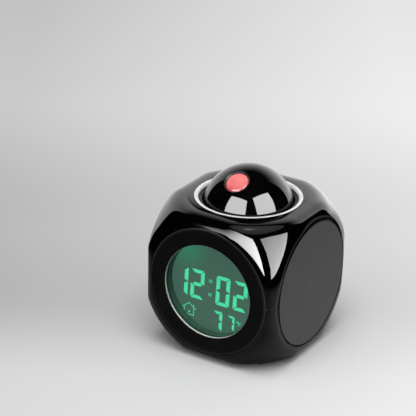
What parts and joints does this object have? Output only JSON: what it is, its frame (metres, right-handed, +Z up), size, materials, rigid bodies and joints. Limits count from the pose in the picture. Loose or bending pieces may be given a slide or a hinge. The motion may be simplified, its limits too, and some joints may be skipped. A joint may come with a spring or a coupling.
{
  "type": "projection alarm clock",
  "caption": "Rounded-cube digital alarm clock with a round backlit display and a tilting projector ball that is pressed for snooze.",
  "frame": {"origin": "on the floor under the middle of the clock", "axes": "+Z up, the display faces -Y, +X is on the right of someone who reads the display"},
  "size_m": [0.08, 0.08, 0.0979],
  "materials": {
    "gloss_black": "high-gloss moulded ABS",
    "matt_black": "fine matt moulded ABS",
    "button_grey": "satin moulded plastic",
    "panel_grey": "matt dark grey plastic",
    "bright_trim": "bright silver plating on plastic",
    "window_clear": "clear polished acrylic",
    "shroud_white": "white reflector plastic",
    "lcd_glass": "LCD glass with polariser film",
    "lens_red": "clear red polished lens",
    "optic_clear": "clear moulded lens",
    "led_red": "red epoxy",
    "led_white": "side-firing lamp package",
    "board_green": "glass-epoxy circuit board with solder mask",
    "switch_black": "black moulded plastic",
    "steel": "zinc-plated steel",
    "contact_metal": "nickel-plated spring steel",
    "magnet": "sintered ferrite",
    "paper_black": "pressed paper cone",
    "rubber_black": "soft black rubber",
    "sensor": "epoxy bead"
  },
  "bodies": {
    "case": {"backlight_leds": "led_white", "backlight_panel": "shroud_white", "battery_cells": "steel", "board_screws": "steel", "bridge_screws": "steel", "case_screws": "steel", "clock_chip": "switch_black", "crystal": "steel", "display_ring": "bright_trim", "display_shroud": "shroud_white", "display_window": "window_clear", "foot_front_left": "rubber_black", "foot_front_right": "rubber_black", "foot_rear_left": "rubber_black", "foot_rear_right": "rubber_black", "front_bezel": "matt_black", "head_spring": "steel", "head_switch": "switch_black", "key_board": "board_green", "key_board_screws": "steel", "key_switches": "switch_black", "lcd_panel": "lcd_glass", "left_side_panel": "panel_grey", "lower_housing": "gloss_black", "main_board": "board_green", "negative_contacts": "contact_metal", "positive_contacts": "contact_metal", "power_jack": "switch_black", "projector_switch": "switch_black", "rear_panel": "matt_black", "right_side_panel": "panel_grey", "speaker_cone": "paper_black", "speaker_frame": "steel", "speaker_magnet": "magnet", "switch_bridge": "matt_black", "temperature_sensor": "sensor", "trim_ring": "bright_trim", "upper_housing": "gloss_black", "zebra_strip": "rubber_black"},
    "head": {"head_cup": "matt_black", "friction_washers": "steel"},
    "ball": {"ball_upper": "gloss_black", "ball_lower": "gloss_black", "lens_ring": "matt_black", "projection_lens": "lens_red", "lens_barrel": "matt_black", "time_slide": "lcd_glass", "condenser_lens": "optic_clear", "projection_led": "led_red", "led_board": "board_green", "pivot_pins": "steel"},
    "mode_button": {"mode_button": "button_grey"},
    "set_button": {"set_button": "button_grey"},
    "down_button": {"down_button": "button_grey"},
    "up_button": {"up_button": "button_grey"},
    "projector_knob": {"projector_knob": "button_grey"},
    "battery_door": {"battery_door": "matt_black"}
  },
  "joints": [
    {"name": "head_press", "type": "slide", "parent": "case", "child": "head", "axis": [0, 0, -1], "range_m": [0, 0.0015], "stiffness_N_per_m": 900, "springref_m": -0.0015, "deforming": ["head_spring"]},
    {"name": "head_tilt", "type": "hinge", "parent": "head", "child": "ball", "pos_m": [0, 0, 0.0734], "axis": [1, 0, 0], "range_deg": [-88, 22]},
    {"name": "mode_press", "type": "slide", "parent": "case", "child": "mode_button", "axis": [0, -1, 0], "range_m": [0, 0.0008], "stiffness_N_per_m": 400, "springref_m": -0.0006},
    {"name": "set_press", "type": "slide", "parent": "case", "child": "set_button", "axis": [0, -1, 0], "range_m": [0, 0.0008], "stiffness_N_per_m": 400, "springref_m": -0.0006},
    {"name": "down_press", "type": "slide", "parent": "case", "child": "down_button", "axis": [0, -1, 0], "range_m": [0, 0.0008], "stiffness_N_per_m": 400, "springref_m": -0.0006},
    {"name": "up_press", "type": "slide", "parent": "case", "child": "up_button", "axis": [0, -1, 0], "range_m": [0, 0.0008], "stiffness_N_per_m": 400, "springref_m": -0.0006},
    {"name": "projector_slide", "type": "slide", "parent": "case", "child": "projector_knob", "axis": [-1, 0, 0], "range_m": [0, 0.003]},
    {"name": "battery_door_lift", "type": "slide", "parent": "case", "child": "battery_door", "axis": [0, 0, -1], "range_m": [0, 0.012]}
  ]
}
